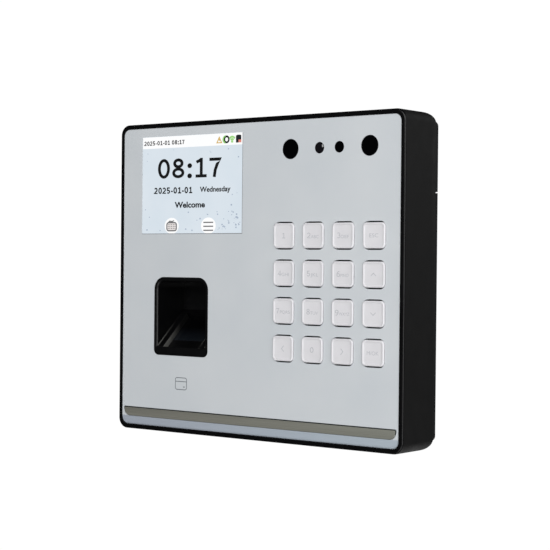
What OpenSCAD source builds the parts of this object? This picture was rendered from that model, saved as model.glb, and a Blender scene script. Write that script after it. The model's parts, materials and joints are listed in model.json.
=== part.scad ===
/* [Body] */
// Width of the terminal
body_w = 167.8; // [166:0.2:172]
// Height of the terminal
body_h = 149.2; // [148.2:0.2:152]
// Depth from the front frame's face to the wall
body_d = 31.3; // [31.1:0.2:35.1]
// Corner radius seen from the front
corner_r = 5; // [5:0.5:7]
// How far forward the rounding of the rear edge reaches
rear_deep = 8; // [4:0.5:8]
// How far that rounding draws the rear face in
rear_draw = 3.2; // [2:0.2:4.4]
// Width of the black frame round the white panel
bezel = 2.2; // [1.6:0.1:2.5]
// Wall thickness of the rear housing
wall = 2.4; // [2.2:0.1:2.6]
// Radius of the frame's front edge
edge_r = 0.8; // [0.4:0.1:1.2]

/* [Front panel] */
// Depth of the panel's face behind the frame's face
panel_front = 0.3; // [0.1:0.1:0.5]
// Thickness of the white panel
panel_t = 1.8; // [1.5:0.1:1.8]
// Height of the metal strip
strip_h = 4.4; // [3:0.1:6]
// Height of the strip's middle
strip_z = -66.05; // [-67:0.05:-65.5]
// Gap between the strip's ends and the frame
strip_end_gap = 1.35; // [0.5:0.05:4]

/* [Screen] */
// Width of the visible screen
screen_w = 62.9; // [60:0.1:65]
// Height of the visible screen
screen_h = 46.8; // [45:0.1:48]
// Middle of the screen, left to right
screen_x = -38.05; // [-39:0.05:-37]
// Middle of the screen, up and down
screen_z = 44.65; // [44:0.05:45]

/* [Keypad] */
// Width of a key
key_w = 11.6; // [10:0.1:11.8]
// Height of a key
key_h = 11.4; // [10:0.1:11.6]
// Corner radius of a key
key_r = 1.9; // [1:0.1:3]
// Column spacing
pitch_x = 16.5; // [16.3:0.1:16.6]
// Row spacing
pitch_z = 17.1; // [17:0.1:17.2]
// Middle of the keypad, left to right
keypad_x = 43.35; // [43.2:0.05:43.8]
// Middle of the keypad, up and down
keypad_z = -5.73; // [-6:0.01:-5]
// How far a key stands in front of the frame's face
key_proud = 0.5; // [0.2:0.1:0.8]
// How far a key travels
key_travel = 1; // [0.5:0.1:1]

/* [Fingerprint reader] */
// Width of the finger window
finger_w = 34; // [32:0.1:34]
// Height of the finger window
finger_h = 37.6; // [36:0.1:38]
// Middle of the finger window, left to right
finger_x = -43.8; // [-44:0.1:-43]
// Middle of the finger window, up and down
finger_z = -18.75; // [-19:0.05:-18.5]
// Depth of the finger well
well_d = 20; // [19:0.5:20]
// Angle of the well's slope against the level
slope = 42; // [40:0.5:43]
// Width of the sensing glass
glass_w = 22.6; // [21:0.1:24.6]
// Length of the sensing glass along its slope
glass_l = 16.8; // [15:0.1:16.9]

/* [Cameras and lights] */
// Height of the camera row
camera_z = 59.15; // [58.5:0.05:59.5]
// Diameter of a fill light window
light_dia = 9; // [7:0.1:9.2]
// Spacing of the two fill lights
light_gap = 43.5; // [42:0.5:44]
// Diameter of a camera window
camera_dia = 5; // [4:0.1:5.2]
// Spacing of the two cameras
camera_gap = 10.9; // [10.8:0.1:12]

/* [Wall plate] */
// Depth of the wall plate
plate_d = 3.05; // [3:0.05:3.5]
// Sheet thickness of the wall plate
sheet = 1.2; // [1:0.1:1.2]
// Inset of the wall plate from the body's outline
plate_inset = 3.2; // [2.5:0.1:3.2]
// Spacing of the wall screws, left to right
screw_gap_x = 120; // [110:1:122]
// Spacing of the wall screws, up and down
screw_gap_z = 116; // [112:1:118]
// Diameter of a wall screw hole
wall_hole = 4.5; // [4:0.1:5]
// Lift that frees the terminal from its hooks
lift = 5; // [4.6:0.1:5]

/* [Hidden] */
$fn = 40;

arc_steps = 8;               // straight steps in each rounded corner
edge_steps = 5;              // straight steps in the frame's rounded front edge
fit = 0.15;                  // gap round a piece that sits in another
past = 1;                    // how far a cut runs past a face

// Depths behind the frame's face
panel_back = panel_front + panel_t;
seat = panel_back;           // the frame's seat that carries the panel
seam = 3.2;                  // where the frame meets the rear housing
web_back = 4.3;              // rear of the frame's web
housing_back = body_d - plate_d - fit;
cavity_back = housing_back - wall;
main_front = 14;             // front of the main board
board = 1.6;                 // thickness of a circuit board
main_back = main_front + board;

// Inner sizes
panel_w = body_w - 2 * bezel;
panel_h = body_h - 2 * bezel;
panel_r = corner_r - bezel + 0.5;
strip_r = 0.6;               // radius of the strip's upper corners
strip_sweep = strip_h - strip_r - 0.2;
foot_z = strip_z - strip_h / 2 - 0.3;
foot_drop = 0.5;             // how far the panel's foot falls away under the strip
cavity_w = body_w - 2 * wall;
cavity_h = body_h - 2 * wall;
cavity_r = corner_r - wall;

// Screws: corner posts of the housing, then the small screws of the boards
post_x = body_w / 2 - 6.75;
post_z = body_h / 2 - 6.9;
post_r = 4.4;
boss_r = 3.4;
join = 12;                   // depth at which frame bosses meet housing posts
small_r = 0.95;
small_head = 1.8;
small_hole = 1;
tip = 2.8;                   // depth that small screws reach in the web

// Display
lcd_w = 70.5;
lcd_h = 50.6;
lcd_back = 5.3;
bracket_back = 6.1;
ear_x = 38.45;
ear_z = 15.5;
ear_w = 7.7;
camera_hole_x = 26.6;
camera_hole_z = 5.6;
finger_hole_x = 19.6;
finger_hole_z = 21;
shroud_plate = 1.5;          // thickness of the shroud's flange
film = 0.3;                  // thickness of a flat cable

// Keypad
columns = 4;
rows = 4;
key_gap_x = 0.3;
key_gap_z = 0.65;
key_hole_r = key_r + 1.1;    // corner radius of a key's opening
flange_over = 1.4;           // how far a key's flange reaches past its cap
flange_front = panel_back + 0.1;
flange_back = 3;
nub_back = 3.3;
dome_front = nub_back + key_travel + 0.1;
mat_front = 5.6;
mat_back = 6.6;
field_w = (columns - 1) * pitch_x + key_w + 2 * flange_over + 1.2;
field_h = (rows - 1) * pitch_z + key_h + 2 * flange_over + 1.5;
keyboard_w = 74;
keyboard_h = 77;

// Finger well. Heights are from the window's middle
rim = 1.9;
lip_r = 1.1;                 // radius of the rim's inner edge
lip_steps = 5;
top_r = 5.8;
bottom_r = 2.7;
shroud_front = 0.15;
slope_front = 0.3;           // depth at which the slope starts
slope_start = -finger_h / 2 + 3.9;
floor_t = 3.2;
recess_start = 0.2;          // from the slope's lower end to the recess
glass_drop = 2.4;            // how far the glass lies under the slope's surface
glass_t = 2;
glass_start = 7.2;           // from the slope's lower end to the glass
hollow_front = 5;            // depth at which the hollow for the optics starts
optics_front = 6.5;
shroud_back = well_d + 1.5;

// Camera board
camera_board_front = 8.2;
camera_board_back = 9.4;

// Rear bay for the wiring, and the hooks
bay_x = 29;
bay_z = -28;
bay_w = 66;
bay_h = 44;
bay_wall = 1.6;
hook_x = 70;
hook_zs = [42, -46];
hook_w = 7;
hook_t = 1.5;
hook_lip = 4;
lip_front = housing_back - 4.2;
lip_back = housing_back - 3;
plate_w = body_w - 2 * plate_inset;
plate_h = body_h - 2 * plate_inset;
plate_front = body_d - plate_d;
lock_d = 24.5;
slit_z = 39.5;               // height of the narrow slits in the plate's side flanges
slit_h = 0.5;
tamper_x = 30;
tamper_z = 20;
tamper_gap = 1.5;            // between the pressed plunger and the wall plate's sheet
main_bosses = [[2.6, 40], [-8.6, -52], [70, 42], [70, -50], [-60, 13.5]];
speaker_x = 44;
speaker_d = 14.5;
speaker_r = 9;
socket_x = 50;               // middle of the network socket
header_xs = [6, 28];         // middles of the two pin headers
battery_x = 10;
battery_z = 22;

// Points of one rounded corner, from the start angle through a quarter turn
function corner(x, z, r, start) = [
    for (i = [0:arc_steps]) [x + r * cos(start + 90 * i / arc_steps), z + r * sin(start + 90 * i / arc_steps)]
];

// A rectangle with rounded corners, whose lower corners may differ
module rounded(w, h, r, low_r = -1) {
    b = low_r < 0 ? r : low_r;
    polygon(concat(
        corner(w / 2 - r, h / 2 - r, r, 0),
        corner(r - w / 2, h / 2 - r, r, 90),
        corner(b - w / 2, b - h / 2, b, 180),
        corner(w / 2 - b, b - h / 2, b, 270)
    ));
}

// Turns a drawing in X and Z into a slab between two depths behind the front face
module slab(near, far)
    translate([0, far - body_d, 0]) rotate([90, 0, 0]) linear_extrude(far - near) children();

// A slab with its drawing placed at a point
module slab_at(x, z, near, far)
    slab(near, far) translate([x, z]) children();

// A box placed by its middle in X and Z and by two depths
module block(x, z, w, h, near, far)
    slab_at(x, z, near, far) square([w, h], center = true);

// A round post, or the cut for a round hole, along the depth
module post(x, z, near, far, r)
    translate([x, far - body_d, z]) rotate([90, 0, 0]) cylinder(h = far - near, r = r);

// A drawing in depth and Z, drawn out along X
module across(x, w)
    translate([x - w / 2, -body_d, 0]) rotate([90, 0, 90]) linear_extrude(w) children();

// Places children at the four corners of a rectangle
module at_corners(x, z, half_w, half_h)
    for (sx = [-1, 1], sz = [-1, 1]) translate([x + sx * half_w, 0, z + sz * half_h]) children();

// Places children at the screws of the display, the keypad, the camera board and the finger shroud
module at_lcd_screws() at_corners(screen_x, screen_z, ear_x, ear_z) children();
module at_keypad_screws() at_corners(keypad_x, keypad_z, keyboard_w / 2 - 2, keyboard_h / 2 - 2) children();
module at_camera_screws() at_corners(keypad_x, camera_z, camera_hole_x, camera_hole_z) children();
module at_finger_screws() at_corners(finger_x, finger_z, finger_hole_x, finger_hole_z) children();

// Places children at every key
module at_keys()
    for (c = [0:columns - 1], r = [0:rows - 1])
        translate([key_x(c), 0, key_z(r)]) children();

function key_x(c) = keypad_x + (c - (columns - 1) / 2) * pitch_x;
function key_z(r) = keypad_z - (r - (rows - 1) / 2) * pitch_z;

// A small pan-head screw along the depth, its head's rear face at head_back
module small_screw(near, head_front) {
    post(0, 0, near, head_front, small_r);
    difference() {
        post(0, 0, head_front, head_front + 1.1, small_head);
        block(0, 0, 2.4, 0.4, head_front + 0.6, head_front + past + 1.1);
        block(0, 0, 0.4, 2.4, head_front + 0.6, head_front + past + 1.1);
    }
}

// The outline of the finger window, shrunk by a rim
module finger_outline(shrink)
    translate([finger_x, finger_z])
        rounded(finger_w - 2 * shrink, finger_h - 2 * shrink, top_r - shrink, max(bottom_r - shrink, 0.6));

// Puts children on the sensor's slope: X across, Y up the slope, Z out of it
module on_slope()
    translate([finger_x, slope_front - body_d, finger_z + slope_start]) rotate([slope, 0, 0]) children();

// The two rows of round openings for lights and cameras
module light_places() for (s = [-1, 1]) translate([keypad_x + s * light_gap / 2, 0, camera_z]) children();
module camera_places() for (s = [-1, 1]) translate([keypad_x + s * camera_gap / 2, 0, camera_z]) children();

// Folded steel tray that is screwed to the wall, with four hooks and the lock tab
module wall_plate() color("#161617")
    difference() {
        union() {
            difference() {
                slab(plate_front, body_d) rounded(plate_w, plate_h, 2.5);
                slab(plate_front - past, body_d - sheet)
                    rounded(plate_w - 2 * sheet, plate_h - 2 * sheet, 1.3);
            }
            for (side = [-1, 1], z = hook_zs) hook(side * hook_x, z);
            block(0, sheet / 2 - plate_h / 2, 10, sheet, 22, body_d - sheet / 2);
        }
        slab_at(bay_x, bay_z - 2, plate_front, body_d + past) rounded(bay_w - 4, bay_h - 10, 3);
        at_corners(0, 0, screw_gap_x / 2, screw_gap_z / 2)
            post(0, 0, body_d - sheet - past, body_d + past, wall_hole / 2);
        for (side = [-1, 1])
            block(side * plate_w / 2, slit_z, 2.2 * sheet, slit_h, plate_front - past, body_d + past);
        translate([0, lock_d - body_d, -plate_h / 2 - past]) cylinder(h = sheet + 2 * past, r = 1.7);
    }

// One upturned hook of the wall plate
module hook(x, z) {
    block(x, z + hook_t / 2, hook_w, hook_t, lip_front, body_d - sheet / 2);
    block(x, z + (hook_t + hook_lip) / 2, hook_w, hook_t + hook_lip, lip_front, lip_back);
}

// Screw that locks the terminal to the wall plate from below
module lock_screw() color("#8d8f92")
    translate([0, lock_d - body_d, -plate_h / 2]) {
        cylinder(h = 7, r = 1.5);
        difference() {
            translate([0, 0, -1.8]) cylinder(h = 1.8, r = 2.8);
            translate([0, 0, -2.8]) cylinder(h = 1.9, r = 1.3, $fn = 6);
        }
    }

// Outer shape of the rear housing, with its rounded rear edge
module housing_outer()
    hull() {
        slab(seam, housing_back - rear_deep) rounded(body_w, body_h, corner_r);
        for (i = [1:arc_steps]) {
            inset = rear_draw * (1 - cos(90 * i / arc_steps));
            far = housing_back - rear_deep + rear_deep * sin(90 * i / arc_steps);
            slab(far - 0.02, far) rounded(body_w - 2 * inset, body_h - 2 * inset, corner_r - inset);
        }
    }

// Black tub that holds everything, hung on the wall plate
module rear_housing() color("#1d1d1d")
    difference() {
        union() {
            difference() {
                housing_outer();
                slab(seam - past, cavity_back) rounded(cavity_w, cavity_h, cavity_r);
            }
            for (sx = [-1, 1], sz = [-1, 1]) {
                post(sx * post_x, sz * post_z, join, cavity_back + 0.5, post_r);
                post(sx * (post_x + 1.9), sz * (post_z + 1.9), join, cavity_back + 0.5, 3.3);
            }
            difference() {
                block(bay_x, bay_z, bay_w + 2 * bay_wall, bay_h + 2 * bay_wall,
                    main_back + 0.4, cavity_back + 0.5);
                block(bay_x, bay_z, bay_w, bay_h, main_back, housing_back);
            }
            post(tamper_x, tamper_z, 22, cavity_back + 0.5, 4);
            block(0, -cavity_h / 2 + 1.8, 17.2, 4.4, 19.6, cavity_back + 0.5);
            translate([0, lock_d - body_d, 4 - cavity_h / 2 - 0.5]) cylinder(h = 6, r = 3.4);
        }
        block(bay_x, bay_z, bay_w, bay_h, cavity_back - past, housing_back + past);
        for (side = [-1, 1], z = hook_zs)
            block(side * hook_x, z + (hook_t + 0.1 - lift - 0.4) / 2, hook_w + 1.4, hook_t + lift + 0.5,
                cavity_back - past, housing_back + past);
        at_corners(0, 0, post_x, post_z) {
            post(0, 0, join + 4, housing_back + past, 3);
            post(0, 0, join - past, housing_back, 1.7);
        }
        post(tamper_x, tamper_z, 20, housing_back + past, 2.6);
        block(0, -body_h / 2 + 1.9, 14, 5.8, 21.2, housing_back + past);
        translate([0, lock_d - body_d, -body_h / 2]) cylinder(h = 12.5, r = 1.8);
        speaker_holes();
    }

// Sound holes under the speaker: one in the middle and two rings
module speaker_holes()
    translate([speaker_x, speaker_d - body_d, -body_h / 2 - past])
        for (ring = [0:2], i = [0:max(6 * ring - 1, 0)])
            rotate([0, 0, i * 60 / max(ring, 1)]) translate([ring * 2.7, 0, 0])
                cylinder(h = wall + 2 * past, r = 0.8, $fn = 24);

// Outer shape of the front frame, with its rounded front edge
module frame_outer()
    hull() {
        slab(edge_r, seam) rounded(body_w, body_h, corner_r);
        for (i = [1:edge_steps]) {
            inset = edge_r * (1 - cos(90 * i / edge_steps));
            near = edge_r * (1 - sin(90 * i / edge_steps));
            slab(near, near + 0.02) rounded(body_w - 2 * inset, body_h - 2 * inset, corner_r - inset);
        }
    }

// Black front frame: the thin bezel and the web that carries panel, screen and boards
module front_frame() color("#0b0b0c")
    difference() {
        union() {
            frame_outer();
            slab(seam - 0.5, web_back) rounded(cavity_w - 2 * fit, cavity_h - 2 * fit, cavity_r - fit);
            at_corners(0, 0, post_x, post_z) post(0, 0, web_back - 0.5, join, boss_r);
            at_lcd_screws() post(0, 0, web_back - 0.5, lcd_back, 2.2);
            at_keypad_screws() post(0, 0, web_back - 0.5, mat_back, 2.2);
            at_camera_screws() post(0, 0, web_back - 0.5, camera_board_front, 2.2);
            for (p = main_bosses) post(p[0], p[1], web_back - 0.5, main_front, 2.6);
        }
        slab(-past, seat) rounded(panel_w, panel_h, panel_r);
        block(screen_x, screen_z, lcd_w + 2 * fit, lcd_h + 2 * fit, seat - past, web_back + past);
        slab_at(keypad_x, keypad_z, seat - past, web_back + past) rounded(field_w, field_h, 2);
        slab(seat - past, web_back + past) finger_outline(-0.3);
        light_places() post(0, 0, seat - past, web_back + past, 4.8);
        camera_places() post(0, 0, seat - past, web_back + past, 3.6);
        difference() {
            slab(seam - 0.7, seam + past) rounded(body_w - 1.4, body_h - 1.4, corner_r - 0.7);
            slab(seam - 0.7 - past, seam + 2 * past) rounded(body_w - 3.4, body_h - 3.4, corner_r - 1.7);
        }
        at_corners(0, 0, post_x, post_z) post(0, 0, 5.5, join + past, 1.55);
        at_lcd_screws() post(0, 0, tip - 0.1, web_back + 3, small_hole);
        at_keypad_screws() post(0, 0, tip - 0.1, mat_back + past, small_hole);
        at_camera_screws() post(0, 0, tip - 0.1, camera_board_front + past, small_hole);
        for (p = main_bosses) post(p[0], p[1], join - 2.1, main_front + past, small_hole);
        at_finger_screws() post(0, 0, tip - 0.1, web_back + past, small_hole);
    }

// Silicone cord in the groove between the frame and the housing
module seal_ring() color("#3a3a3c")
    difference() {
        slab(seam - 0.65, seam) rounded(body_w - 1.5, body_h - 1.5, corner_r - 0.75);
        slab(seam - past, seam + past) rounded(body_w - 3.3, body_h - 3.3, corner_r - 1.65);
    }

// Four long screws from the rear that close the housing
module housing_screws() color("#9a9ca0")
    at_corners(0, 0, post_x, post_z) {
        post(0, 0, 6.5, join + 4, 1.5);
        difference() {
            post(0, 0, join + 4, join + 6, 2.7);
            post(0, 0, join + 5, join + 6 + past, 1.3);
        }
    }

// White moulded panel with every opening of the front
module front_panel() color("#c9ced2")
    difference() {
        slab(panel_front, panel_back) rounded(panel_w - 0.2, panel_h - 0.2, panel_r);
        block(screen_x, screen_z, screen_w + 0.2, screen_h + 0.2, -past, panel_back + past);
        at_keys() slab(-past, panel_back + past)
            rounded(key_w + 2 * key_gap_x, key_h + 2 * key_gap_z, key_hole_r);
        slab(-past, panel_back + past) finger_outline(-0.1);
        light_places() post(0, 0, -past, panel_back + past, light_dia / 2 + 0.1);
        camera_places() post(0, 0, -past, panel_back + past, camera_dia / 2 + 0.1);
        slab_at(0, strip_z, -past, panel_front + 0.7) strip_outline(0.15);
        across(0, body_w) polygon([
            [-past, -panel_h], [-past, foot_z], [panel_front, foot_z],
            [panel_front + foot_drop, -panel_h / 2], [panel_front + foot_drop, -panel_h]
        ]);
    }

// The strip's outline: square upper corners and swept lower ones
module strip_outline(grow)
    rounded(panel_w - 2 * strip_end_gap + 2 * grow, strip_h + 2 * grow, strip_r, strip_sweep);

// Brushed metal strip across the foot of the panel
module decor_strip() color("#7a7a72")
    slab_at(0, strip_z, panel_front - 0.2, panel_front + 0.7) strip_outline(0);

// Clear window over the display
module screen_window() color("#d7e1ea")
    block(screen_x, screen_z, screen_w, screen_h, panel_front + 0.2, panel_back);

// Display with its backlight
module lcd_module() color("#a9adb2")
    block(screen_x, screen_z, lcd_w, lcd_h, panel_back, lcd_back);

// Pressed plate that clamps the display to the web
module lcd_bracket() color("#b3b6ba")
    difference() {
        union() {
            block(screen_x, screen_z, lcd_w - 0.5, lcd_h - 0.6, lcd_back, bracket_back);
            at_corners(screen_x, screen_z, ear_x - 1.65, ear_z) block(0, 0, ear_w, 7, lcd_back, bracket_back);
        }
        at_lcd_screws() post(0, 0, lcd_back - past, bracket_back + past, small_hole);
    }

module lcd_screws() color("#9a9ca0")
    at_lcd_screws() small_screw(tip, bracket_back);

// Flat cable from the display's lower edge to the main board
module lcd_ribbon() color("#b98a3c") {
    low = screen_z - lcd_h / 2;
    block(screen_x, low - 1.7, 20, 3.4, 4.6, 4.9);
    block(screen_x, low - 3.25, 20, 0.3, 4.6, 13);
    block(screen_x, low + 0.3, 20, 7.4, 12.7, 13);
    block(screen_x, low + 2, 22, 4, 13, main_front);
}

// Silicone mat whose domes return the keys
module keypad_mat() color("#d8d8d4")
    difference() {
        slab_at(keypad_x, keypad_z, web_back, mat_back) rounded(field_w + 3, field_h + 3, 2.5);
        difference() {
            slab_at(keypad_x, keypad_z, web_back - past, mat_front)
                rounded(field_w - 0.4, field_h - 0.4, 1.8);
            at_keys() post(0, 0, dome_front, mat_front + past, 3.4);
        }
    }

// Circuit board under the keys
module keypad_pcb() color("#1f6b45")
    difference() {
        block(keypad_x, keypad_z, keyboard_w, keyboard_h, mat_back, mat_back + board);
        at_keypad_screws() post(0, 0, mat_back - past, mat_back + board + past, small_hole);
    }

module keypad_screws() color("#9a9ca0")
    at_keypad_screws() small_screw(tip, mat_back + board);

// Flat cable between the keypad board and the main board
module keypad_ribbon() color("#b98a3c") {
    low = keypad_z - keyboard_h / 2;
    block(keypad_x, low + 4, 16, 8, mat_back + board, mat_back + board + film);
    block(keypad_x, low + film / 2, 16, film, mat_back + board, main_front);
    block(keypad_x, low + 4, 16, 8, main_front - film, main_front);
}

// One key: rounded cap with a dished face, retaining flange and nub
module key(column, row) color("#d5d6da")
    translate([key_x(column), 0, key_z(row)]) {
        difference() {
            slab(-key_proud, flange_back) rounded(key_w, key_h, key_r);
            slab(-key_proud - past, 0.25 - key_proud) rounded(key_w - 1.8, key_h - 1.8, key_r - 0.5);
        }
        slab(flange_front, flange_back) rounded(key_w + 2 * flange_over, key_h + 2 * flange_over, 1.6);
        post(0, 0, flange_back - 0.2, nub_back, 2);
    }

// Black well that guides the finger down to the sloping sensor
module finger_shroud() color("#070708")
    difference() {
        union() {
            slab(shroud_front, shroud_back) finger_outline(0);
            block(finger_x, finger_z, 44, 47, web_back, web_back + shroud_plate);
        }
        intersection() {
            finger_mouth();
            across(finger_x, finger_w) translate([0, finger_z]) polygon([
                [-past, slope_start], [slope_front, slope_start],
                [well_d, slope_at(well_d)], [well_d, finger_h / 2], [-past, finger_h / 2]
            ]);
        }
        across(finger_x, finger_w - 2 * rim - 1) translate([0, finger_z]) polygon([
            [hollow_front, rim - finger_h / 2], [shroud_back + past, rim - finger_h / 2],
            [shroud_back + past, slope_at(well_d, floor_t)], [well_d, slope_at(well_d, floor_t)],
            [hollow_front, slope_at(hollow_front, floor_t)]
        ]);
        on_slope() translate([-glass_w / 2 - 0.1, recess_start, -glass_drop])
            cube([glass_w + 0.2, glass_start + glass_l, glass_drop + past]);
        on_slope() translate([-glass_w / 2 - 0.1, glass_start, -floor_t - past])
            cube([glass_w + 0.2, glass_l + recess_start, floor_t + past]);
        at_finger_screws()
            post(0, 0, web_back - past, web_back + shroud_plate + past, small_hole);
    }

// Space inside the well's walls, opening out round the rim's rounded inner edge
module finger_mouth() {
    slab(shroud_front + lip_r - 0.02, well_d) finger_outline(rim);
    slab(-past, shroud_front + 0.01) finger_outline(rim - lip_r);
    for (i = [0:lip_steps - 1]) hull() {
        lip_ring(90 * i / lip_steps);
        lip_ring(90 * (i + 1) / lip_steps);
    }
}

// One thin outline of the rounded inner edge, at an angle round it from the face
module lip_ring(turn) {
    depth = shroud_front + lip_r * (1 - cos(turn));
    slab(depth - 0.01, depth) finger_outline(rim - lip_r * (1 - sin(turn)));
}

// Height of the slope, or of a plane so far under it, at a depth
function slope_at(depth, under = 0) =
    slope_start + (depth - slope_front) * tan(slope) - under / cos(slope);

// Glass that the finger rests on
module finger_glass() color("#10151c")
    on_slope() translate([-glass_w / 2, glass_start + 0.1, -glass_drop - glass_t])
        cube([glass_w, glass_l, glass_t]);

// Prism block with the lens barrel behind the glass
module finger_optics() color("#1b1b1d") {
    low = rim + 0.3 - finger_h / 2;
    back = shroud_back - 0.2;
    under = glass_drop + glass_t + fit;
    across(finger_x, 25) translate([0, finger_z]) polygon([
        [optics_front, low], [back, low],
        [back, slope_at(back, under)], [optics_front, slope_at(optics_front, under)]
    ]);
}

// Board of the fingerprint sensor, closing the shroud's rear
module finger_pcb() color("#1f6b45") {
    block(finger_x, finger_z, 33, 36, shroud_back, shroud_back + board);
    block(finger_x, finger_z - 6, 10, 10, shroud_back + board, shroud_back + board + 1);
}

module finger_screws() color("#9a9ca0")
    at_finger_screws() small_screw(tip, web_back + shroud_plate);

// Flat cable from the sensor's board to the main board
module finger_cable() color("#b98a3c") {
    back = shroud_back + board;
    block(-24, -10, 16, 8, back, back + film);
    block(-16.15, -10, film, 8, main_back, back + film);
    block(-12, -10, 8, 8, main_back, main_back + film);
}

// Black windows in front of the two fill lights
module light_windows() color("#050506")
    light_places() post(0, 0, panel_front + 0.1, panel_back, light_dia / 2);

// The two fill light emitters on the camera board
module fill_leds() color("#e7e3cf")
    light_places() {
        block(0, 0, 5, 5, 7, camera_board_front);
        intersection() {
            post(0, 0, 4.5, 7.1, 2.2);
            translate([0, 7 - body_d, 0]) sphere(r = 2.2);
        }
    }

// Dark windows in front of the two cameras
module camera_windows() color("#08080a")
    camera_places() post(0, 0, panel_front + 0.1, panel_back - 0.6, camera_dia / 2);

// A camera: square base, barrel and domed lens
module camera(x) translate([x, 0, camera_z]) {
    block(0, 0, 8.5, 8.5, 6.2, camera_board_front);
    difference() {
        post(0, 0, 2.4, 6.3, 3.3);
        post(0, 0, 2.4 - past, 3, 2.2);
    }
    intersection() {
        post(0, 0, 1.9, 3.2, 1.9);
        translate([0, 4.2 - body_d, 0]) sphere(r = 2.3);
    }
}
module colour_camera() color("#121316") camera(keypad_x - camera_gap / 2);
module infrared_camera() color("#121316") camera(keypad_x + camera_gap / 2);

// Board that carries cameras and fill lights
module camera_pcb() color("#1f6b45")
    difference() {
        block(keypad_x, camera_z, 57.2, 15.2, camera_board_front, camera_board_back);
        at_camera_screws()
            post(0, 0, camera_board_front - past, camera_board_back + past, small_hole);
    }

module camera_screws() color("#9a9ca0")
    at_camera_screws() small_screw(tip, camera_board_back);

// Flat cable from the camera board down to the main board
module camera_ribbon() color("#b98a3c") {
    block(keypad_x, 53, 12, 6, camera_board_back, camera_board_back + film);
    block(keypad_x, 50.15, 12, film, camera_board_back, main_front);
    block(keypad_x, 46, 12, 8, main_front - film, main_front);
}

// L-shaped main board
module main_pcb() color("#1a5c3c")
    difference() {
        union() {
            block(32, -4, 88, 104, main_front, main_back);
            block(-39, 28, 56, 40, main_front, main_back);
        }
        for (p = main_bosses) post(p[0], p[1], main_front - past, main_back + past, small_hole);
    }

module main_screws() color("#9a9ca0")
    for (p = main_bosses) translate([p[0], 0, p[1]]) small_screw(join - 2, main_back);

// Metal can over the processor
module processor_shield() color("#b9bcc0")
    block(54, 18, 28, 28, main_back, main_back + 3);

// Network socket, its mouth facing down into the wiring bay
module network_jack() color("#c3c6ca")
    difference() {
        block(socket_x, -17, 16, 20, main_back, main_back + 11.4);
        block(socket_x, -21.5, 11.8, 14, main_back + 2.4, main_back + 9.4);
    }

// Two pin headers for the plug-in wires
module wire_headers() color("#e4e2d8")
    for (x = header_xs) difference() {
        block(x, -12, 18, 9, main_back, main_back + 8);
        for (i = [-2.5:1:2.5]) block(x + i * 2.54, -15, 1.9, 8, main_back + 3, main_back + 5.5);
    }

// Relay that switches the door lock
module door_relay() color("#2559a8")
    block(-40, 28, 19, 15.5, main_back, main_back + 9);

// Clock battery in its holder
module clock_battery() color("#c9ccd0") {
    post(battery_x, battery_z, main_back + 0.8, main_back + 4, 8);
    block(battery_x, battery_z, 18, 10, main_back, main_back + 0.9);
}

// Switch that the plunger works
module tamper_switch() color("#2a2a2c")
    block(tamper_x, tamper_z, 8, 8, main_back, main_back + 2);

// Plunger that the wall plate holds in
module tamper_plunger() color("#c8352c") {
    post(tamper_x, tamper_z, 19.2, body_d - sheet - tamper_gap, 2.4);
    post(tamper_x, tamper_z, 19.2, 20.2, 3.2);
}

// Antenna board of the card reader, behind the card mark
module card_antenna() color("#2d4f86")
    block(-43.3, -57, 56, 22, web_back, web_back + 1);

// Speaker facing down at the sound holes
module speaker() color("#2b2b2d")
    translate([speaker_x, speaker_d - body_d, -cavity_h / 2]) {
        cylinder(h = 3, r = speaker_r);
        translate([0, 0, 2.9]) cylinder(h = 2, r = 5.5);
    }

wall_plate();
lock_screw();
rear_housing();
front_frame();
seal_ring();
housing_screws();
front_panel();
decor_strip();
screen_window();
lcd_module();
lcd_bracket();
lcd_screws();
lcd_ribbon();
keypad_mat();
keypad_pcb();
keypad_screws();
keypad_ribbon();
finger_shroud();
finger_glass();
finger_optics();
finger_pcb();
finger_screws();
finger_cable();
light_windows();
fill_leds();
camera_windows();
colour_camera();
infrared_camera();
camera_pcb();
camera_screws();
camera_ribbon();
main_pcb();
main_screws();
processor_shield();
network_jack();
wire_headers();
door_relay();
clock_battery();
tamper_switch();
tamper_plunger();
card_antenna();
speaker();
key(0, 0);  // key_1
key(1, 0);  // key_2
key(2, 0);  // key_3
key(3, 0);  // key_esc
key(0, 1);  // key_4
key(1, 1);  // key_5
key(2, 1);  // key_6
key(3, 1);  // key_up
key(0, 2);  // key_7
key(1, 2);  // key_8
key(2, 2);  // key_9
key(3, 2);  // key_down
key(0, 3);  // key_left
key(1, 3);  // key_0
key(2, 3);  // key_right
key(3, 3);  // key_ok
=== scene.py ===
"""Looks of the fingerprint scanner terminal: materials, key caps, screen picture, marks, light and camera.

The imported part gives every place. X runs right, Z up, and the front faces -Y. Lengths are in metres, and
MM turns millimetres into them. Drawings and texture sizes are in millimetres.
"""

import json
import math
import random

import bmesh
import bpy
from mathutils import Matrix, Vector


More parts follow.
